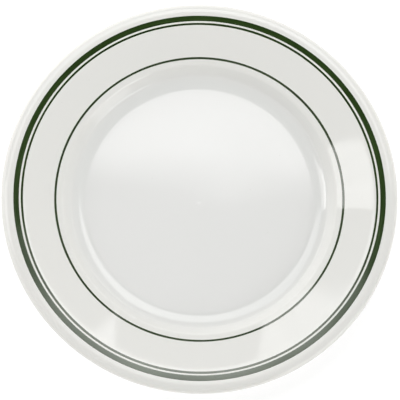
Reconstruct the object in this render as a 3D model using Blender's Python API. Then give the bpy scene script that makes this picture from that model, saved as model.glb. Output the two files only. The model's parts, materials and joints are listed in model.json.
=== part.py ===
"""China dinner plate with a broad rim, a flatter lip, a rolled edge and three green rings.

The plate is turned: every piece is a closed section in the XZ plane, spun
about Z. The origin is the middle of the plate at the level of the foot's
bearing face, +Z is up, and sizes are in metres.

The section starts from the finished surface of the plate, glaze included.
Each layer below it is that same surface moved into the clay by a fixed depth.
"""

import math

import bmesh
import bpy
from mathutils import Vector

MM = 0.001

# Driving dimensions of the finished plate
PLATE_RADIUS = 133.35 * MM        # outside of the rolled edge, 10.5 inches across
FLOOR_HEIGHT = 7.5 * MM           # top of the well's floor
WELL_RADIUS = 81.8 * MM           # where the line of the floor meets the line of the cove
COVE_SLOPE = math.radians(22.0)   # rise of the gentle cove round the floor
WALL_RADIUS = 87.1 * MM           # where the line of the cove meets the line of the steep wall
VERGE_RADIUS = 92.3 * MM          # where the line of the wall meets the line of the rim
VERGE_HEIGHT = 16.82 * MM
RIM_SLOPE = math.radians(16.3)    # rise of the rim
LIP_RADIUS = 117.7 * MM           # where the rim bends to the flatter lip outside it
LIP_SLOPE = math.radians(4.5)     # rise of the lip
CREST_RADIUS = 129.2 * MM         # where the lip turns over to the rolled edge
ROLL_SLOPE = math.radians(-14.0)  # fall from the crest to the outside
ROLL_DROP = 6.1 * MM              # height of the rolled edge between its two corners
RECESS_HEIGHT = 2.6 * MM          # underside of the floor, inside the foot ring
FOOT_OUTER = 79.5 * MM            # bearing face of the foot ring
FOOT_INNER = 74.0 * MM

# Underside, from the rolled edge in to the foot
ROLL_NECK = (122.5 * MM, 20.3 * MM)    # where the roll meets the rim's underside
VERGE_UNDER = (96.6 * MM, 13.0 * MM)   # below the verge
COVE_UNDER = (88.4 * MM, 5.0 * MM)     # below the foot of the wall
FOOT_ROOT = (80.8 * MM, 2.8 * MM)      # outside of the foot ring, at its top
FOOT_TAPER = 0.8 * MM                  # the inside of the foot ring leans by this much

# Fillets of the finished surface
WELL_FILLET = 23.5 * MM
WALL_FILLET = 3.2 * MM
VERGE_FILLET = 3.5 * MM
LIP_FILLET = 8.0 * MM
CREST_FILLET = 9.0 * MM
ROLL_TOP_FILLET = 3.4 * MM
ROLL_BOTTOM_FILLET = 2.6 * MM
NECK_FILLET = 8.0 * MM
UNDER_FILLET = 8.0 * MM
FOOT_FILLET = 1.5 * MM

# Layers
GLAZE = 0.7 * MM         # glaze coat, drawn thicker than the real one
COLOUR = 0.2 * MM        # fired colour of the rings
GAP = 0.3 * MM           # clearance between two pieces
DRY_HEIGHT = 0.8 * MM    # the glaze stops this far above the bearing face

# Green rings, each from its inner to its outer radius
VERGE_LINE = (96.55 * MM, 97.85 * MM)
NARROW_LINE = (118.85 * MM, 120.3 * MM)
WIDE_BAND = (121.55 * MM, 125.25 * MM)

# Fineness of the mesh
SEGMENTS = 48
ARC_STEP = math.radians(22)
SHARP_ANGLE = math.radians(40)
MERGE = 1e-6

# Surfaces: colour as red, green and blue, and roughness
GLAZE_FINISH = ((0.82, 0.82, 0.79), 0.08)
BISQUE_FINISH = ((0.74, 0.71, 0.65), 0.55)
GREEN_FINISH = ((0.025, 0.055, 0.015), 0.1)


def face_point(radius, depth=0.0):
    """Point under the face of the rim or lip at a radius, at a depth square to the face."""
    rim_run = min(radius, LIP_RADIUS) - VERGE_RADIUS
    lip_run = max(radius - LIP_RADIUS, 0.0)
    height = VERGE_HEIGHT + rim_run * math.tan(RIM_SLOPE) + lip_run * math.tan(LIP_SLOPE)
    slope = RIM_SLOPE if radius < LIP_RADIUS else LIP_SLOPE
    return Vector((radius + depth * math.sin(slope), height - depth * math.cos(slope)))


def corner(point, fillet=0.0):
    """A corner of a section: its sharp point and the radius that rounds it."""
    return Vector(point), fillet


def face_path():
    """Finished surface from the middle of the well, round the edge, to the foot's bearing face."""
    cove_top = FLOOR_HEIGHT + (WALL_RADIUS - WELL_RADIUS) * math.tan(COVE_SLOPE)
    crest = face_point(CREST_RADIUS)
    roll_top = crest.y + (PLATE_RADIUS - CREST_RADIUS) * math.tan(ROLL_SLOPE)
    return [
        corner((0.0, FLOOR_HEIGHT)),
        corner((WELL_RADIUS, FLOOR_HEIGHT), WELL_FILLET),
        corner((WALL_RADIUS, cove_top), WALL_FILLET),
        corner(face_point(VERGE_RADIUS), VERGE_FILLET),
        corner(face_point(LIP_RADIUS), LIP_FILLET),
        corner(crest, CREST_FILLET),
        corner((PLATE_RADIUS, roll_top), ROLL_TOP_FILLET),
        corner((PLATE_RADIUS, roll_top - ROLL_DROP), ROLL_BOTTOM_FILLET),
        corner(ROLL_NECK, NECK_FILLET),
        corner(VERGE_UNDER, UNDER_FILLET),
        corner(COVE_UNDER, UNDER_FILLET),
        corner(FOOT_ROOT, FOOT_FILLET),
        corner((FOOT_OUTER, 0.0)),
    ]


def base_path():
    """Finished surface from the foot's bearing face to the middle of the recess under the well."""
    return [
        corner((FOOT_INNER, 0.0)),
        corner((FOOT_INNER - FOOT_TAPER, RECESS_HEIGHT), FOOT_FILLET),
        corner((0.0, RECESS_HEIGHT)),
    ]


def right_of(direction):
    """Unit vector to the right of a direction, which points into the clay."""
    return Vector((direction.y, -direction.x)).normalized()


def line_crossing(point_a, along_a, point_b, along_b):
    """Point where two lines of the section cross."""
    across = along_a.x * along_b.y - along_a.y * along_b.x
    apart = point_b - point_a
    travel = (apart.x * along_b.y - apart.y * along_b.x) / across
    return point_a + along_a * travel


def sunk(path, depth):
    """The path moved into the clay by a depth, with its fillets grown or shrunk to match."""
    points = [point for point, _ in path]
    runs = [end - start for start, end in zip(points, points[1:])]
    moved = [corner(points[0] + right_of(runs[0]) * depth)]
    for index in range(1, len(points) - 1):
        before, after = runs[index - 1], runs[index]
        start = points[index - 1] + right_of(before) * depth
        end = points[index] + right_of(after) * depth
        turns_left = before.x * after.y - before.y * after.x > 0.0
        fillet = path[index][1] + (depth if turns_left else -depth)
        moved.append(corner(line_crossing(start, before, end, after), fillet))
    moved.append(corner(points[-1] + right_of(runs[-1]) * depth))
    return moved


def ended_at(path, height):
    """The path with its last run lengthened or shortened to end at a height."""
    last, before = path[-1][0], path[-2][0]
    end = line_crossing(before, last - before, Vector((0.0, height)), Vector((1.0, 0.0)))
    return path[:-1] + [corner(end)]


def fillet_arc(before, point, after, fillet):
    """Points of the arc that rounds a corner, from the run before it to the run after it."""
    arriving = (point - before).normalized()
    leaving = (after - point).normalized()
    turn = arriving.angle_signed(leaving)
    reach = fillet * math.tan(abs(turn) / 2)
    start = point - arriving * reach
    side = right_of(arriving) if turn > 0.0 else -right_of(arriving)
    centre = start + side * fillet
    steps = max(2, math.ceil(abs(turn) / ARC_STEP))
    spoke = start - centre
    arc = []
    for step in range(steps + 1):
        angle = -turn * step / steps
        turned = Vector((
            spoke.x * math.cos(angle) - spoke.y * math.sin(angle),
            spoke.x * math.sin(angle) + spoke.y * math.cos(angle),
        ))
        arc.append(centre + turned)
    return arc


def rounded(path):
    """Points of a path with each of its corners rounded."""
    points = [path[0][0]]
    for index in range(1, len(path) - 1):
        point, fillet = path[index]
        if fillet > 0.0:
            points += fillet_arc(path[index - 1][0], point, path[index + 1][0], fillet)
        else:
            points.append(point)
    points.append(path[-1][0])
    return points


def seat(ring):
    """Corners of the shallow groove in the glaze that a ring lies in."""
    inner, outer = ring[0] - GAP, ring[1] + GAP
    depth = COLOUR + GAP
    return [
        corner(face_point(inner)),
        corner(face_point(inner, depth)),
        corner(face_point(outer, depth)),
        corner(face_point(outer)),
    ]


def body_section():
    """Fired clay: the whole plate, set in by the glaze, and bare at the foot's bearing face."""
    depth = GLAZE + GAP
    face = ended_at(sunk(face_path(), depth), 0.0)
    base = sunk(base_path()[::-1], -depth)
    return rounded(face) + rounded(ended_at(base, 0.0))[::-1]


def face_glaze_section():
    """Coat over the face, the edge and the underside, down to the outside of the foot."""
    path = face_path()
    to_verge, lip_bend, to_foot = path[:4], path[4:5], path[5:]
    grooved = to_verge + seat(VERGE_LINE) + lip_bend + seat(NARROW_LINE) + seat(WIDE_BAND) + to_foot
    outside = ended_at(grooved, DRY_HEIGHT)
    inside = ended_at(sunk(path, GLAZE), DRY_HEIGHT)
    return rounded(outside) + rounded(inside)[::-1]


def base_glaze_section():
    """Coat over the recess inside the foot ring."""
    path = base_path()[::-1]
    outside = ended_at(path, DRY_HEIGHT)
    inside = ended_at(sunk(path, -GLAZE), DRY_HEIGHT)
    return rounded(outside) + rounded(inside)[::-1]


def ring_section(ring):
    """Flat ring of fired colour, its top flush with the face around it."""
    inner, outer = ring
    return [
        face_point(inner),
        face_point(outer),
        face_point(outer, COLOUR),
        face_point(inner, COLOUR),
    ]


def turned_mesh(name, section):
    """Closed mesh made by spinning a section about Z. A section may start and end on the axis."""
    model = bmesh.new()
    verts = [model.verts.new((point.x, 0.0, point.y)) for point in section]
    edges = [model.edges.new(pair) for pair in zip(verts, verts[1:])]
    if section[0].x > MERGE:
        edges.append(model.edges.new((verts[-1], verts[0])))
    bmesh.ops.spin(
        model,
        geom=verts + edges,
        cent=(0.0, 0.0, 0.0),
        axis=(0.0, 0.0, 1.0),
        angle=2 * math.pi,
        steps=SEGMENTS,
        use_merge=True,
    )
    bmesh.ops.remove_doubles(model, verts=model.verts, dist=MERGE)
    bmesh.ops.recalc_face_normals(model, faces=model.faces)
    mesh = bpy.data.meshes.new(name)
    model.to_mesh(mesh)
    model.free()
    mesh.shade_smooth()
    mesh.set_sharp_from_angle(angle=SHARP_ANGLE)
    return mesh


def material(name, finish):
    """Principled material of one layer of the plate."""
    colour, roughness = finish
    made = bpy.data.materials.new(name)
    made.use_nodes = True
    shader = made.node_tree.nodes["Principled BSDF"]
    shader.inputs["Base Color"].default_value = (*colour, 1.0)
    shader.inputs["Roughness"].default_value = roughness
    shader.inputs["Metallic"].default_value = 0.0
    made.diffuse_color = (*colour, 1.0)
    return made


def add_piece(name, section, finish):
    """One named piece of the plate, with a material of its own."""
    piece = bpy.data.objects.new(name, turned_mesh(name, section))
    piece.data.materials.append(material(name, finish))
    bpy.context.scene.collection.objects.link(piece)


def clear_scene():
    """Empty the scene of its objects."""
    for old in list(bpy.data.objects):
        bpy.data.objects.remove(old, do_unlink=True)


def build():
    """Model the plate."""
    clear_scene()
    add_piece("china_body", body_section(), BISQUE_FINISH)
    add_piece("face_glaze", face_glaze_section(), GLAZE_FINISH)
    add_piece("base_glaze", base_glaze_section(), GLAZE_FINISH)
    add_piece("wide_green_band", ring_section(WIDE_BAND), GREEN_FINISH)
    add_piece("narrow_green_line", ring_section(NARROW_LINE), GREEN_FINISH)
    add_piece("verge_green_line", ring_section(VERGE_LINE), GREEN_FINISH)


build()
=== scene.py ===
"""Looks of the china dinner plate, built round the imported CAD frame.

Each CAD node is replaced by one finely turned piece of the same section. Lengths are in metres.
"""

from collections import namedtuple
import json
import math

import bmesh
import bpy
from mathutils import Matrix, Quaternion, Vector


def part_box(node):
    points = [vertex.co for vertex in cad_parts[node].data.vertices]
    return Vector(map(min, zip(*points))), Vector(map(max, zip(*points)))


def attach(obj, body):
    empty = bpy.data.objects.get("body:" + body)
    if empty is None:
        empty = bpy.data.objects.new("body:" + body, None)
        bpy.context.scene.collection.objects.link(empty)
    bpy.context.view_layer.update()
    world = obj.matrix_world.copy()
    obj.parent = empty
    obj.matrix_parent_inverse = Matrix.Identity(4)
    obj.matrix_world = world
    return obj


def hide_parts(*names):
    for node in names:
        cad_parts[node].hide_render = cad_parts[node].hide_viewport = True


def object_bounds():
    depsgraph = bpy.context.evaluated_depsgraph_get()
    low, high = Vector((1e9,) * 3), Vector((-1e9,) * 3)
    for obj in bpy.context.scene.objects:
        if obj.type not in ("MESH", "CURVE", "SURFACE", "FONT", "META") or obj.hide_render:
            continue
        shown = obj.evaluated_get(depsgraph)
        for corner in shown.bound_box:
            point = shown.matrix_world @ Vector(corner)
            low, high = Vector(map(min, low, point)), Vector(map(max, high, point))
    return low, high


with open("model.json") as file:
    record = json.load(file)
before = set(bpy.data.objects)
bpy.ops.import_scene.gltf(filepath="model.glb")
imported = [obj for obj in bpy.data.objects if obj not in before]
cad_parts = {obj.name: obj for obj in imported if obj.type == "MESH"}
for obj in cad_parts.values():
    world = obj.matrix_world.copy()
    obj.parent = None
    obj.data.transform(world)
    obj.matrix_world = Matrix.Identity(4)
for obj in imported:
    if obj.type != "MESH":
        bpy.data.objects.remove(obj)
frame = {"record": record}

MM = 0.001
TINY = 1e-9
CAD_LOW, CAD_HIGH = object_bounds()
MOUNTS = {mount["name"]: Vector(mount["pos_m"]) for mount in frame["record"]["mounts"]}
CAD_GLAZE = 0.7 * MM  # thickness of the coats of glaze in the CAD model

# Driving dimensions, the outer ones read from the frame
PLATE_RADIUS = CAD_HIGH.x
FLOOR_HEIGHT = MOUNTS["well_floor"].z
FOOT_HEIGHT = MOUNTS["foot"].z
WELL_RADIUS = 81.8 * MM
COVE_SLOPE = math.radians(22.0)
WALL_RADIUS = 87.1 * MM
VERGE_RADIUS = 92.3 * MM
VERGE_HEIGHT = 16.82 * MM
RIM_SLOPE = math.radians(16.3)
LIP_RADIUS = 117.7 * MM
LIP_SLOPE = math.radians(4.5)
CREST_RADIUS = 129.2 * MM
ROLL_SLOPE = math.radians(-14.0)
ROLL_DROP = 6.1 * MM
RECESS_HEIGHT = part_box("base_glaze")[1].z - CAD_GLAZE
FOOT_OUTER = 79.5 * MM
FOOT_INNER = 74.0 * MM

# Underside, from the rolled edge in to the foot
ROLL_NECK = (122.5 * MM, 20.3 * MM)
VERGE_UNDER = (96.6 * MM, 13.0 * MM)
COVE_UNDER = (88.4 * MM, 5.0 * MM)
FOOT_ROOT = (80.8 * MM, 2.8 * MM)
FOOT_TAPER = 0.8 * MM

# Fillets
WELL_FILLET = 23.5 * MM
WALL_FILLET = 3.2 * MM
VERGE_FILLET = 3.5 * MM
LIP_FILLET = 8.0 * MM
CREST_FILLET = 9.0 * MM
ROLL_TOP_FILLET = 3.4 * MM
ROLL_BOTTOM_FILLET = 2.6 * MM
NECK_FILLET = 8.0 * MM
UNDER_FILLET = 8.0 * MM
FOOT_FILLET = 1.5 * MM

# Chamfer of the bare foot, as (inwards, up) in shares of its width
FOOT_CHAMFER = 0.7 * MM
CHAMFER_SHAPE = ((0.0, 0.8), (0.3, 0.25), (1.0, 0.0))

# Coats of glaze at their real thickness, and the clearance between them and the clay
GLAZE = 0.18 * MM
CLEAR = 0.01 * MM
DRY_HEIGHT = 0.9 * MM
GLAZE_END_TURNS = [math.radians(turn) for turn in (30, 60, 90, 120, 150)]

# Films of green colour, which lie on the glaze and have rounded shoulders
FILM = 0.03 * MM
FILM_LIFT = 0.004 * MM
FILM_SHOULDER = 0.12 * MM
SHOULDER_SHARES = (0.0, 0.15, 0.45, 1.0)
SHOULDER_END = 1.25

# Hollow that the turning leaves in the middle of the well
DIMPLE_RADIUS = 2.2 * MM
DIMPLE_DEPTH = 0.035 * MM
DIMPLE_STEPS = 8

# The plate's slight unevenness, which fades out over this height above the foot
WAVE_START = 3.0 * MM
WAVES = (
    # height, waves per metre along X and along Y, phase
    (0.0065 * MM, 14.0, 9.0, 0.4),
    (0.0050 * MM, -8.0, 17.0, 2.1),
    (0.0042 * MM, 21.0, -6.0, 4.4),
    (0.0030 * MM, 5.0, 26.0, 1.3),
    (0.0080 * MM, 6.0, -5.0, 5.2),
)
SWELLS = (
    # middle, radius and height of a soft rise in the floor of the well
    ((21.0 * MM, -14.0 * MM), 15.0 * MM, 0.085 * MM),
    ((-2.0 * MM, -2.0 * MM), 5.0 * MM, 0.012 * MM),
)

# How a hand-banded edge wanders
EDGE_WAVES = (
    # height, waves round the plate, share of the ring's own phase
    (0.035 * MM, 2, 1.0),
    (0.022 * MM, 7, 2.3),
    (0.012 * MM, 23, 1.7),
)
OUTER_EDGE_PHASE = 1.9

# Fineness of the meshes. Surfaces that another layer covers are coarser.
SEGMENTS = 256
ARC_STEP = math.radians(3.0)
RUN_STEP = 5.0 * MM
HIDDEN_ARC_STEP = math.radians(7.5)
HIDDEN_RUN_STEP = 25.0 * MM
LEAST_ARC_STEPS = 3
SUPPORT = 0.35 * MM  # the first point of a straight run is this far from the arc before it
SHARP_ANGLE = math.radians(35.0)


# ---------------------------------------------------------------- the section

def face_point(radius, depth=0.0):
    """Point under the face of the rim or lip at a radius, at a depth square to the face."""
    rim_run = min(radius, LIP_RADIUS) - VERGE_RADIUS
    lip_run = max(radius - LIP_RADIUS, 0.0)
    height = VERGE_HEIGHT + rim_run * math.tan(RIM_SLOPE) + lip_run * math.tan(LIP_SLOPE)
    slope = RIM_SLOPE if radius < LIP_RADIUS else LIP_SLOPE
    return Vector((radius + depth * math.sin(slope), height - depth * math.cos(slope)))


def corner(point, fillet=0.0):
    """A corner of a section: its sharp point and the radius that rounds it."""
    return Vector(point), fillet


def face_path():
    """Finished surface from the middle of the well, round the edge, to the foot's bearing face."""
    cove_top = FLOOR_HEIGHT + (WALL_RADIUS - WELL_RADIUS) * math.tan(COVE_SLOPE)
    crest = face_point(CREST_RADIUS)
    roll_top = crest.y + (PLATE_RADIUS - CREST_RADIUS) * math.tan(ROLL_SLOPE)
    return [
        corner((0.0, FLOOR_HEIGHT)),
        corner((WELL_RADIUS, FLOOR_HEIGHT), WELL_FILLET),
        corner((WALL_RADIUS, cove_top), WALL_FILLET),
        corner(face_point(VERGE_RADIUS), VERGE_FILLET),
        corner(face_point(LIP_RADIUS), LIP_FILLET),
        corner(crest, CREST_FILLET),
        corner((PLATE_RADIUS, roll_top), ROLL_TOP_FILLET),
        corner((PLATE_RADIUS, roll_top - ROLL_DROP), ROLL_BOTTOM_FILLET),
        corner(ROLL_NECK, NECK_FILLET),
        corner(VERGE_UNDER, UNDER_FILLET),
        corner(COVE_UNDER, UNDER_FILLET),
        corner(FOOT_ROOT, FOOT_FILLET),
        corner((FOOT_OUTER, FOOT_HEIGHT)),
    ]


def base_path():
    """Finished surface from the middle of the recess out to the foot's bearing face."""
    return [
        corner((0.0, RECESS_HEIGHT)),
        corner((FOOT_INNER - FOOT_TAPER, RECESS_HEIGHT), FOOT_FILLET),
        corner((FOOT_INNER, FOOT_HEIGHT)),
    ]


def right_of(direction):
    """Unit vector to the right of a direction."""
    return Vector((direction.y, -direction.x)).normalized()


def line_crossing(point_a, along_a, point_b, along_b):
    """Point where two lines of the section cross."""
    across = along_a.x * along_b.y - along_a.y * along_b.x
    apart = point_b - point_a
    travel = (apart.x * along_b.y - apart.y * along_b.x) / across
    return point_a + along_a * travel


def sunk(path, depth):
    """The path moved to its right by a depth, with its fillets grown or shrunk to match."""
    points = [point for point, _ in path]
    runs = [end - start for start, end in zip(points, points[1:])]
    moved = [corner(points[0] + right_of(runs[0]) * depth)]
    for index in range(1, len(points) - 1):
        before, after = runs[index - 1], runs[index]
        start = points[index - 1] + right_of(before) * depth
        end = points[index] + right_of(after) * depth
        turns_left = before.x * after.y - before.y * after.x > 0.0
        fillet = path[index][1] + (depth if turns_left else -depth)
        moved.append(corner(line_crossing(start, before, end, after), fillet))
    moved.append(corner(points[-1] + right_of(runs[-1]) * depth))
    return moved


def ended_at(path, height):
    """The path with its last run lengthened or shortened to end at a height."""
    last, before = path[-1][0], path[-2][0]
    end = line_crossing(before, last - before, Vector((0.0, height)), Vector((1.0, 0.0)))
    return path[:-1] + [corner(end)]


def fillet_arc(before, point, after, fillet, arc_step):
    """Points of the arc that rounds a corner, from the run before it to the run after it."""
    arriving = (point - before).normalized()
    leaving = (after - point).normalized()
    turn = arriving.angle_signed(leaving)
    start = point - arriving * fillet * math.tan(abs(turn) / 2)
    side = right_of(arriving) if turn > 0.0 else -right_of(arriving)
    centre = start + side * fillet
    steps = max(LEAST_ARC_STEPS, math.ceil(abs(turn) / arc_step))
    spoke = start - centre
    arc = []
    for step in range(steps + 1):
        angle = -turn * step / steps
        turned = Vector((
            spoke.x * math.cos(angle) - spoke.y * math.sin(angle),
            spoke.x * math.sin(angle) + spoke.y * math.cos(angle),
        ))
        arc.append(centre + turned)
    return arc


def run_points(start, end, run_step):
    """Points between two ends of a straight run: one close to each end, and even ones between."""
    length = (end - start).length
    if length < 3 * SUPPORT:
        return []
    inner = length - 2 * SUPPORT
    steps = max(1, math.ceil(inner / run_step))
    distances = [SUPPORT + inner * step / steps for step in range(steps + 1)]
    return [start.lerp(end, distance / length) for distance in distances]


def rounded(path, arc_step=ARC_STEP, run_step=RUN_STEP):
    """Points of a path with its corners rounded and its straight runs divided."""
    stops = [[path[0][0]]]
    for index in range(1, len(path) - 1):
        point, fillet = path[index]
        before, after = path[index - 1][0], path[index + 1][0]
        stops.append(fillet_arc(before, point, after, fillet, arc_step))
    stops.append([path[-1][0]])
    points = list(stops[0])
    for before, after in zip(stops, stops[1:]):
        points += run_points(before[-1], after[0], run_step) + after
    return points


def hidden(path):
    """Coarser points of a path, for a surface that another layer covers."""
    return rounded(path, HIDDEN_ARC_STEP, HIDDEN_RUN_STEP)


def glaze_end(outside, inside):
    """Rounded end of a coat, between its outer and its inner surface."""
    middle = (outside + inside) / 2
    half = (outside - inside) / 2
    down = Vector((0.0, -half.length))
    return [middle + half * math.cos(turn) + down * math.sin(turn) for turn in GLAZE_END_TURNS]


def coat_section(path, side):
    """Section of a coat of glaze: its outer surface, its rounded end and its inner surface."""
    outside = rounded(ended_at(path, DRY_HEIGHT))
    inside = hidden(ended_at(sunk(path, side * GLAZE), DRY_HEIGHT))
    return outside + glaze_end(outside[-1], inside[-1]) + inside[::-1]


def dimple(radius):
    """Depth of the hollow in the middle of the well, as a fall below the floor."""
    share = max(0.0, 1.0 - (radius / DIMPLE_RADIUS) ** 2)
    return -DIMPLE_DEPTH * share * share


def face_coat_section():
    """Section of the face coat, with the small hollow in the middle of the well."""
    radii = [DIMPLE_RADIUS * step / DIMPLE_STEPS for step in range(DIMPLE_STEPS + 1)]
    hollow = [Vector((radius, FLOOR_HEIGHT + dimple(radius))) for radius in radii]
    beyond = [
        point for point in coat_section(face_path(), 1.0)[1:]
        if point.x > DIMPLE_RADIUS or point.y < FLOOR_HEIGHT - TINY
    ]
    return hollow + beyond


def foot_corner(path_end, inward):
    """Small chamfer between a side of the foot ring and its bearing face."""
    return [
        path_end + Vector((inward * FOOT_CHAMFER * in_share, FOOT_CHAMFER * up_share))
        for in_share, up_share in CHAMFER_SHAPE
    ]


def clay_section():
    """Section of the fired clay, set in by the glaze, with the bare foot ring."""
    depth = GLAZE + CLEAR
    face = hidden(ended_at(sunk(face_path(), depth), FOOT_HEIGHT))
    base = hidden(ended_at(sunk(base_path(), -depth), FOOT_HEIGHT))
    foot = foot_corner(face[-1], -1.0) + foot_corner(base[-1], 1.0)[::-1]
    return face[:-1] + foot + base[:-1][::-1]


def film_edge(radius, angle, phase):
    """Radius of a hand-banded edge at an angle round the plate."""
    for height, waves, share in EDGE_WAVES:
        radius += height * math.sin(waves * angle + share * phase)
    return radius


def film_section(inner, outer, angle, phase):
    """Section of one green ring: a thin film with rounded shoulders, lying on the glaze."""
    low = film_edge(inner, angle, phase)
    high = film_edge(outer, angle, phase + OUTER_EDGE_PHASE)
    shoulder = []
    for share in SHOULDER_SHARES:
        lift = FILM * math.sqrt(max(0.0, 1.0 - (1.0 - share) ** 2))
        shoulder.append((share * FILM_SHOULDER, lift))
    shoulder.append((SHOULDER_END * FILM_SHOULDER, FILM))
    rise = [face_point(low + step, -FILM_LIFT - lift) for step, lift in shoulder]
    fall = [face_point(high - step, -FILM_LIFT - lift) for step, lift in shoulder[::-1]]
    return rise + [face_point((low + high) / 2, -FILM_LIFT - FILM)] + fall


# ---------------------------------------------------------------- turned meshes

def unevenness(x, y, height):
    """Small rise and fall of the plate after firing. The foot stands flat, so it has none."""
    rise = 0.0
    for swell, along_x, along_y, phase in WAVES:
        rise += swell * math.sin(math.tau * (along_x * x + along_y * y) + phase)
    for (middle_x, middle_y), radius, swell in SWELLS:
        apart = math.hypot(x - middle_x, y - middle_y) / radius
        rise += swell * math.exp(-0.5 * apart * apart)
    return rise * min(1.0, max(0.0, (height - FOOT_HEIGHT) / WAVE_START))


def turned_mesh(name, section_at):
    """Closed mesh of a section swept round Z. The section may change a little with the angle."""
    angles = [math.tau * step / SEGMENTS for step in range(SEGMENTS)]
    sections = [section_at(angle) for angle in angles]
    on_axis = [point.x < TINY for point in sections[0]]
    verts = []
    index = {}
    for step, angle in enumerate(angles):
        for place, point in enumerate(sections[step]):
            if on_axis[place] and step > 0:
                index[step, place] = index[0, place]
                continue
            x, y = point.x * math.cos(angle), point.x * math.sin(angle)
            index[step, place] = len(verts)
            verts.append((x, y, point.y + unevenness(x, y, point.y)))
    faces = []
    count = len(on_axis)
    runs = range(count - 1) if on_axis[0] else range(count)
    for step in range(SEGMENTS):
        beside = (step + 1) % SEGMENTS
        for place in runs:
            after = (place + 1) % count
            near_side = (index[step, place], index[step, after])
            far_side = (index[beside, after], index[beside, place])
            faces.append(tuple(dict.fromkeys(near_side + far_side)))
    mesh = bpy.data.meshes.new(name)
    mesh.from_pydata(verts, [], faces)
    model = bmesh.new()
    model.from_mesh(mesh)
    bmesh.ops.recalc_face_normals(model, faces=model.faces)
    model.to_mesh(mesh)
    model.free()
    mesh.shade_smooth()
    mesh.set_sharp_from_angle(angle=SHARP_ANGLE)
    return mesh


def add_piece(name, section_at, cad_node, material):
    """One visible piece that stands for a CAD node and rides on the plate's body."""
    piece = bpy.data.objects.new(name, turned_mesh(name, section_at))
    bpy.context.scene.collection.objects.link(piece)
    piece.data.materials.append(material)
    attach(piece, "root")
    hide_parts(cad_node)


# ---------------------------------------------------------------- node helpers

Places = namedtuple("Places", "position height flat radius around")


def new_material(name):
    """An empty node material with one Principled shader, as (material, tree, shader)."""
    material = bpy.data.materials.new(name)
    material.use_nodes = True
    tree = material.node_tree
    return material, tree, tree.nodes["Principled BSDF"]


def feed(tree, socket, value):
    """Sets an input to a number, a colour or another node's output."""
    if isinstance(value, bpy.types.NodeSocket):
        tree.links.new(value, socket)
    else:
        socket.default_value = value


def node(tree, kind, inputs=(), **settings):
    """A node with its settings made and its inputs fed."""
    made = tree.nodes.new("ShaderNode" + kind)
    for key, value in settings.items():
        setattr(made, key, value)
    for key, value in dict(inputs).items():
        feed(tree, made.inputs[key], value)
    return made


def math_node(tree, operation, *values):
    """Output of a math node."""
    return node(tree, "Math", enumerate(values), operation=operation).outputs[0]


def product(tree, first, *others):
    """Output of the product of two or more numbers."""
    for other in others:
        first = math_node(tree, "MULTIPLY", first, other)
    return first


def vector_node(tree, operation, *values):
    """A vector math node."""
    return node(tree, "VectorMath", enumerate(values), operation=operation)


def ramp(tree, value, low, high, to_low=0.0, to_high=1.0):
    """Output of a clamped, smooth map of a value from one range to another."""
    made = node(
        tree, "MapRange",
        {"Value": value, "From Min": low, "From Max": high, "To Min": to_low, "To Max": to_high},
        interpolation_type="SMOOTHSTEP",
    )
    return made.outputs["Result"]


def mixed(tree, share, first, second):
    """Output of a colour mix. Mix repeats its sockets for each type, so they go by number."""
    made = node(tree, "Mix", {0: share}, data_type="RGBA")
    feed(tree, made.inputs[6], first)
    feed(tree, made.inputs[7], second)
    return made.outputs[2]


def mixed_value(tree, share, first, second):
    """Output of a mix of two numbers."""
    return node(tree, "Mix", {0: share, 2: first, 3: second}).outputs[0]


def noise(tree, vector, scale, detail=2.0, roughness=0.5):
    """Output of a noise texture."""
    inputs = {"Vector": vector, "Scale": scale, "Detail": detail, "Roughness": roughness}
    return node(tree, "TexNoise", inputs).outputs["Fac"]


def patches(tree, vector, between, scale, detail=2.0, roughness=0.5):
    """Output of a noise that is 0 below a range of its values and 1 above it."""
    return ramp(tree, noise(tree, vector, scale, detail, roughness), *between)


def bumped(tree, height, distance, strength=1.0, normal=None):
    """Output of a bump, on top of an earlier one where it is given."""
    made = node(tree, "Bump", {"Height": height, "Distance": distance, "Strength": strength})
    if normal is not None:
        feed(tree, made.inputs["Normal"], normal)
    return made.outputs["Normal"]


def places(tree):
    """Where a point of the plate is: its position and height, its place seen from above, its
    distance from the axis, and the direction from the axis to it."""
    position = node(tree, "TexCoord").outputs["Object"]
    split = node(tree, "SeparateXYZ", {0: position})
    flat = node(tree, "CombineXYZ", {0: split.outputs["X"], 1: split.outputs["Y"]}).outputs[0]
    return Places(
        position=position,
        height=split.outputs["Z"],
        flat=flat,
        radius=vector_node(tree, "LENGTH", flat).outputs["Value"],
        around=vector_node(tree, "NORMALIZE", flat).outputs["Vector"],
    )


# ---------------------------------------------------------------- glaze

GLAZE_IOR = 1.5
FACE_ROUGHNESS = 0.035
BASE_ROUGHNESS = 0.055

# Colours of the white clay as it looks through the glaze
WHITE = (0.800, 0.797, 0.764, 1.0)
WELL_WHITE = (0.822, 0.823, 0.806, 1.0)
POOLED = (0.778, 0.790, 0.766, 1.0)
THIN = (0.800, 0.782, 0.730, 1.0)
SPECK = (0.30, 0.24, 0.18, 1.0)

# Distances from the axis between which a tint starts or stops
WELL_STOP = (78 * MM, 94 * MM)
POOL_START = (74 * MM, 80 * MM)
POOL_STOP = (82 * MM, 88 * MM)
THIN_START = (130 * MM, PLATE_RADIUS)

# Most that each tint covers
CLOUD_SHARE = 0.12
POOL_SHARE = 0.5
THIN_SHARE = 0.4
SPECK_SHARE = 0.55

# Patterns: range of the noise, its scale per metre, detail and roughness
CLOUDS = ((0.35, 0.65), 26.0, 3.0)
SCUFFS = ((0.58, 0.72), 380.0, 5.0, 0.7)
WORN_PLACES = ((0.4, 0.7), 34.0)
SCUFF_ROUGHNESS = 0.05

# Iron specks: cells per metre, radius in cells where one fades, share of the cells without one
SPECK_CELLS = 60.0
SPECK_EDGE = (0.006, 0.012)
SPECK_CHANCE = 0.86

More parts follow.
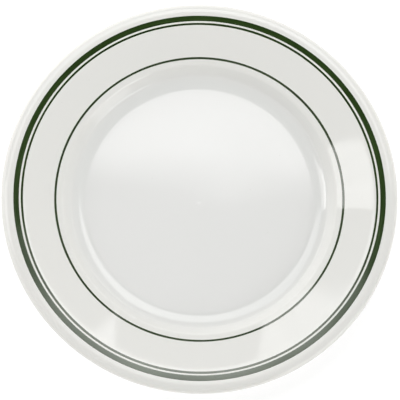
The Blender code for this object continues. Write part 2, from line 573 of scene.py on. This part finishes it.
# Relief: scale per metre and depth of the orange peel and of the fine turning rings
PEEL_SCALE = 240.0
PEEL_DEPTH = 0.0035 * MM
TURNING_SCALE = 420.0
TURNING_DETAIL = 1.0
TURNING_DEPTH = 0.0016 * MM


def specks(tree, at):
    """Output that is 1 in the small iron specks of the clay."""
    inputs = {"Vector": at.flat, "Scale": SPECK_CELLS}
    cells = node(tree, "TexVoronoi", inputs, voronoi_dimensions="2D")
    dot = ramp(tree, cells.outputs["Distance"], *SPECK_EDGE, 1.0, 0.0)
    chance = node(tree, "SeparateColor", {0: cells.outputs["Color"]}).outputs[0]
    return product(tree, dot, math_node(tree, "GREATER_THAN", chance, SPECK_CHANCE))


def glaze_colour(tree, at, well):
    """Colour of the glazed clay: clouded, greener where the glaze pools, warmer where it is thin."""
    in_well = ramp(tree, at.radius, *WELL_STOP, 1.0, 0.0)
    colour = mixed(tree, in_well, WHITE, well)
    clouds = patches(tree, at.position, *CLOUDS)
    colour = mixed(tree, product(tree, clouds, CLOUD_SHARE), colour, POOLED)
    pool = product(
        tree, ramp(tree, at.radius, *POOL_START), ramp(tree, at.radius, *POOL_STOP, 1.0, 0.0)
    )
    colour = mixed(tree, product(tree, pool, POOL_SHARE), colour, POOLED)
    on_roll = ramp(tree, at.radius, *THIN_START)
    colour = mixed(tree, product(tree, on_roll, THIN_SHARE), colour, THIN)
    return mixed(tree, product(tree, specks(tree, at), SPECK_SHARE), colour, SPECK)


def glaze_material(name, well, roughness):
    """Clear gloss glaze over white clay, with pooling, specks, light scuffs and orange peel."""
    material, tree, shader = new_material(name)
    at = places(tree)
    feed(tree, shader.inputs["Base Color"], glaze_colour(tree, at, well))
    scuffs = product(tree, patches(tree, at.position, *SCUFFS), patches(tree, at.position, *WORN_PLACES))
    gloss = math_node(tree, "MULTIPLY_ADD", scuffs, SCUFF_ROUGHNESS, roughness)
    feed(tree, shader.inputs["Roughness"], gloss)
    peel = bumped(tree, noise(tree, at.position, PEEL_SCALE), PEEL_DEPTH)
    outwards = node(tree, "CombineXYZ", {2: at.radius}).outputs[0]
    turning = noise(tree, outwards, TURNING_SCALE, TURNING_DETAIL)
    feed(tree, shader.inputs["Normal"], bumped(tree, turning, TURNING_DEPTH, normal=peel))
    shader.inputs["IOR"].default_value = GLAZE_IOR
    return material


# ---------------------------------------------------------------- green colour

ENAMEL_IOR = 1.83
ENAMEL_ROUGHNESS = (0.035, 0.06)

# Darker and lighter green of a thick layer and of a thin one
BAND_GREENS = ((0.016, 0.038, 0.0055, 1.0), (0.028, 0.058, 0.011, 1.0))
LINE_GREENS = ((0.014, 0.034, 0.004, 1.0), (0.026, 0.054, 0.008, 1.0))
GREEN_RANGE = (0.38, 0.66)

# Streaks of the brush: how far the noise runs round the plate, and its scale, detail, roughness
STREAK_RUN = (1.6, 1.6, 1.6)
STREAKS = (3.0, 4.0, 0.6)
STREAK_WEIGHT = 0.7
STREAK_RANGE = (0.3, 0.7)
ENAMEL_CLOUD_SCALE = 70.0

# Relief of the fired colour: scale per metre, detail, depth
ENAMEL_GRAIN = (900.0, 3.0)
ENAMEL_GRAIN_DEPTH = 0.0012 * MM

RINGS = (
    # piece, CAD node, width, phase of its edges, material, its greens, streaks across a metre
    ("green_band", "wide_green_band", 3.75 * MM, 0.7, "band_green", BAND_GREENS, 900.0),
    ("green_line", "narrow_green_line", 1.5 * MM, 2.9, "line_green", LINE_GREENS, 1500.0),
    ("green_verge_line", "verge_green_line", 1.5 * MM, 4.6, "verge_green", LINE_GREENS, 1500.0),
)


def enamel_material(name, greens, streaks_across):
    """Dark green fired colour, laid on with a banding brush while the plate turns."""
    material, tree, shader = new_material(name)
    at = places(tree)
    across = node(tree, "CombineXYZ", {2: product(tree, at.radius, streaks_across)}).outputs[0]
    turned = vector_node(tree, "MULTIPLY_ADD", at.around, STREAK_RUN, across).outputs["Vector"]
    streak = noise(tree, turned, *STREAKS)
    cloud = product(tree, noise(tree, at.position, ENAMEL_CLOUD_SCALE), 1.0 - STREAK_WEIGHT)
    share = math_node(tree, "MULTIPLY_ADD", streak, STREAK_WEIGHT, cloud)
    feed(tree, shader.inputs["Base Color"], mixed(tree, ramp(tree, share, *GREEN_RANGE), *greens))
    feed(tree, shader.inputs["Roughness"], ramp(tree, streak, *STREAK_RANGE, *ENAMEL_ROUGHNESS))
    grain = bumped(tree, noise(tree, at.position, *ENAMEL_GRAIN), ENAMEL_GRAIN_DEPTH)
    feed(tree, shader.inputs["Normal"], grain)
    shader.inputs["IOR"].default_value = ENAMEL_IOR
    return material


# ---------------------------------------------------------------- bare clay

CLAY_DARK = (0.70, 0.655, 0.575, 1.0)
CLAY_LIGHT = (0.79, 0.755, 0.69, 1.0)
CLAY_RUBBED = (0.34, 0.325, 0.30, 1.0)
CLAY_GRAIN = (1500.0, 4.0, 0.65)
CLAY_RANGE = (0.3, 0.7)
CLAY_ROUGHNESS = 0.78
RUBBED_ROUGHNESS = 0.5
RUBBED_SHARE = 0.6
RUBBED_PATCHES = ((0.45, 0.68), 95.0, 4.0, 0.6)
BEARING_STOP = (0.02 * MM, 0.35 * MM)  # heights between which the rubbing stops
PIT_STRENGTH = 0.9
PIT_DEPTH = 0.03 * MM


def clay_material():
    """Bare fired clay of the foot ring: fine-grained, matte, and rubbed grey where it bears."""
    material, tree, shader = new_material("bare_clay")
    at = places(tree)
    grain = noise(tree, at.position, *CLAY_GRAIN)
    colour = mixed(tree, ramp(tree, grain, *CLAY_RANGE), CLAY_DARK, CLAY_LIGHT)
    bearing = ramp(tree, at.height, *BEARING_STOP, 1.0, 0.0)
    rubbed = product(tree, bearing, patches(tree, at.position, *RUBBED_PATCHES))
    colour = mixed(tree, product(tree, rubbed, RUBBED_SHARE), colour, CLAY_RUBBED)
    feed(tree, shader.inputs["Base Color"], colour)
    roughness = ramp(tree, rubbed, 0.0, 1.0, CLAY_ROUGHNESS, RUBBED_ROUGHNESS)
    feed(tree, shader.inputs["Roughness"], roughness)
    feed(tree, shader.inputs["Normal"], bumped(tree, grain, PIT_DEPTH, PIT_STRENGTH))
    return material


# ---------------------------------------------------------------- the plate

def add_ring(name, cad_node, width, phase, material):
    """One green ring in the place of its CAD node, which gives its outer radius."""
    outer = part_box(cad_node)[1].x
    inner = outer - width
    add_piece(name, lambda angle: film_section(inner, outer, angle, phase), cad_node, material)


def build_plate():
    """All the pieces of the plate."""
    body = clay_section()
    face = face_coat_section()
    base = coat_section(base_path(), -1.0)
    face_gloss = glaze_material("face_glaze_gloss", WELL_WHITE, FACE_ROUGHNESS)
    base_gloss = glaze_material("base_glaze_gloss", WHITE, BASE_ROUGHNESS)
    add_piece("clay_body", lambda angle: body, "china_body", clay_material())
    add_piece("glaze_over_face", lambda angle: face, "face_glaze", face_gloss)
    add_piece("glaze_inside_foot", lambda angle: base, "base_glaze", base_gloss)
    for name, cad_node, width, phase, material, greens, streaks_across in RINGS:
        add_ring(name, cad_node, width, phase, enamel_material(material, greens, streaks_across))


# ---------------------------------------------------------------- studio

CAMERA_DISTANCE = 2.4
CAMERA_ELEVATION = math.radians(78.6)
CAMERA_ROLL = math.radians(7.9)
CAMERA_TARGET = Vector((0.44 * MM, 0.0, 13.0 * MM))
CAMERA_LENS = 319.8
CAMERA_SENSOR = 36.0
CAMERA_CLIP = (0.05, 30.0)

# Pale room: its level and how it changes with direction
TENT_LEVEL = 1.0
TENT_SLOPE = (-0.54, 0.5, 0.0)

# Its dim ceiling, with a dark opening straight above. A blend gives the heights of a direction,
# as a share of its length, between which the next part takes over.
CEILING_LEVEL = 0.32
CEILING_BLEND = (0.58, 0.72)
HOLE_LEVEL = 0.04
HOLE_BLEND = (0.955, 0.97)

# Slight shade on the wall behind the camera, and a round glow low at the right
SHADE_TURN = math.radians(254.0)
SHADE_AIM = (math.cos(SHADE_TURN), math.sin(SHADE_TURN), 0.0)
SHADE_SPREAD = math.radians(52.0)
SHADE_SOFTNESS = 0.05
SHADE_LOSS = 0.02
GLOW_AIM = (0.757, -0.511, 0.407)
GLOW_SPREAD = math.radians(19.0)
GLOW_SOFTNESS = 0.01
GLOW_LEVEL = 3.5

# Softboxes, which fade towards their near side and their ends. Widths are shares of the panel's.
PANEL_HEIGHT = 1.5
PANEL_NEAR_FADE = 0.062
PANEL_NEAR_LEVEL = 0.2
PANEL_LEFT_FADE = 0.08
PANEL_RIGHT_FADE = 0.06
PANEL_SLANT = (-0.06, 0.037)  # slope of the near side's fade along the panel, and where it starts
PANEL_TILT = (0.25, 0.5)      # places along the panel between which its left end's share stops
PANEL_CLOUD_SCALE = 9.0
PANEL_CLOUD_RANGE = (0.3, 0.7)
PANEL_CLOUD_LEVELS = (0.86, 1.1)
PANELS = (
    # name, centre, size, radiance, turn, share of the radiance that its left end has
    ("back_softbox", (-0.14, 0.6975), (1.16, 0.785), 3.15, math.radians(3.7), 0.75),
    ("side_softbox", (-0.89, 0.115), (0.56, 0.35), 2.9, 0.0, 2.3),
)

FLOOR_REACH = 3.0
FLOOR_GREY = (0.5, 0.5, 0.5, 1.0)
FLOOR_ROUGHNESS = 0.9
FLOOR_GLOW = 0.62
PLAIN_WHITE = (1.0, 1.0, 1.0, 1.0)


def add_camera():
    """Camera high in front of the plate, looking down at it with a slight roll."""
    data = bpy.data.cameras.new("camera")
    data.lens = CAMERA_LENS
    data.sensor_width = CAMERA_SENSOR
    data.clip_start, data.clip_end = CAMERA_CLIP
    camera = bpy.data.objects.new("camera", data)
    bpy.context.scene.collection.objects.link(camera)
    back = Vector((0.0, -math.cos(CAMERA_ELEVATION), math.sin(CAMERA_ELEVATION)))
    camera.location = CAMERA_TARGET + back * CAMERA_DISTANCE
    aim = (-back).to_track_quat("-Z", "Y")
    camera.rotation_mode = "QUATERNION"
    camera.rotation_quaternion = aim @ Quaternion((0.0, 0.0, 1.0), CAMERA_ROLL)
    bpy.context.scene.camera = camera


def panel_pattern(tree, left_share):
    """Share of a softbox's radiance at each of its points: faded sides, a tilt and soft clouds."""
    spot = node(tree, "NewGeometry").outputs["Parametric"]
    split = node(tree, "SeparateXYZ", {0: spot})
    along, across = split.outputs["X"], split.outputs["Y"]
    depth = math_node(tree, "ADD", across, math_node(tree, "MULTIPLY_ADD", along, *PANEL_SLANT))
    clouds = noise(tree, spot, PANEL_CLOUD_SCALE)
    return product(
        tree,
        ramp(tree, depth, 0.0, PANEL_NEAR_FADE, PANEL_NEAR_LEVEL, 1.0),
        ramp(tree, along, 0.0, PANEL_LEFT_FADE),
        ramp(tree, along, 1.0 - PANEL_RIGHT_FADE, 1.0, 1.0, 0.0),
        ramp(tree, along, *PANEL_TILT, left_share, 1.0),
        ramp(tree, clouds, *PANEL_CLOUD_RANGE, *PANEL_CLOUD_LEVELS),
    )


def add_panel(name, centre, size, radiance, turn, left_share):
    """Softbox lying level at the panels' height, facing down, with its long side turned."""
    data = bpy.data.lights.new(name, "AREA")
    data.shape = "RECTANGLE"
    data.size, data.size_y = size
    data.energy = radiance * math.pi * data.size * data.size_y
    data.use_nodes = True
    tree = data.node_tree
    feed(tree, tree.nodes["Emission"].inputs["Strength"], panel_pattern(tree, left_share))
    panel = bpy.data.objects.new(name, data)
    panel.location = (*centre, PANEL_HEIGHT)
    panel.rotation_euler.z = turn
    bpy.context.scene.collection.objects.link(panel)


def lobe(tree, direction, aim, spread, softness):
    """Share of a direction that lies within a cone round an aim, with a soft edge."""
    facing = vector_node(tree, "DOT_PRODUCT", direction, aim).outputs["Value"]
    edge = math.cos(spread)
    return ramp(tree, facing, edge - softness, edge + softness)


def add_world():
    """Pale room round the table, brightest at the back left, with a dim ceiling and one glow."""
    world = bpy.data.worlds.new("room")
    bpy.context.scene.world = world
    world.use_nodes = True
    tree = world.node_tree
    direction = node(tree, "TexCoord").outputs["Generated"]
    split = node(tree, "SeparateXYZ", {0: direction})
    flat = node(tree, "CombineXYZ", {0: split.outputs["X"], 1: split.outputs["Y"]}).outputs[0]
    aside = vector_node(tree, "NORMALIZE", flat).outputs["Vector"]
    slope = vector_node(tree, "DOT_PRODUCT", direction, TENT_SLOPE).outputs["Value"]
    shade = lobe(tree, aside, SHADE_AIM, SHADE_SPREAD, SHADE_SOFTNESS)
    glow = lobe(tree, direction, GLOW_AIM, GLOW_SPREAD, GLOW_SOFTNESS)
    walls = math_node(tree, "ADD", slope, TENT_LEVEL)
    walls = math_node(tree, "MULTIPLY_ADD", shade, -SHADE_LOSS, walls)
    walls = math_node(tree, "MULTIPLY_ADD", glow, GLOW_LEVEL, walls)
    ceiling = ramp(tree, split.outputs["Z"], *HOLE_BLEND, CEILING_LEVEL, HOLE_LEVEL)
    overhead = ramp(tree, split.outputs["Z"], *CEILING_BLEND)
    background = tree.nodes["Background"]
    background.inputs["Color"].default_value = PLAIN_WHITE
    feed(tree, background.inputs["Strength"], mixed_value(tree, overhead, walls, ceiling))


def add_floor():
    """Pale floor that the foot ring stands on."""
    signs = ((-1, -1), (1, -1), (1, 1), (-1, 1))
    corners = [(x * FLOOR_REACH, y * FLOOR_REACH, 0.0) for x, y in signs]
    mesh = bpy.data.meshes.new("floor")
    mesh.from_pydata(corners, [], [tuple(range(len(corners)))])
    floor = bpy.data.objects.new("floor", mesh)
    floor.location.z = CAD_LOW.z
    bpy.context.scene.collection.objects.link(floor)
    material, _, shader = new_material("pale_floor")
    shader.inputs["Base Color"].default_value = FLOOR_GREY
    shader.inputs["Roughness"].default_value = FLOOR_ROUGHNESS
    shader.inputs["Emission Color"].default_value = PLAIN_WHITE
    shader.inputs["Emission Strength"].default_value = FLOOR_GLOW
    floor.data.materials.append(material)


def build_studio():
    """Camera, lights, room and floor."""
    add_camera()
    add_world()
    add_floor()
    for panel in PANELS:
        add_panel(*panel)
    view = bpy.context.scene.view_settings
    view.view_transform = "Standard"
    view.look = "None"
    view.exposure = 0.0
    view.gamma = 1.0


build_plate()
build_studio()
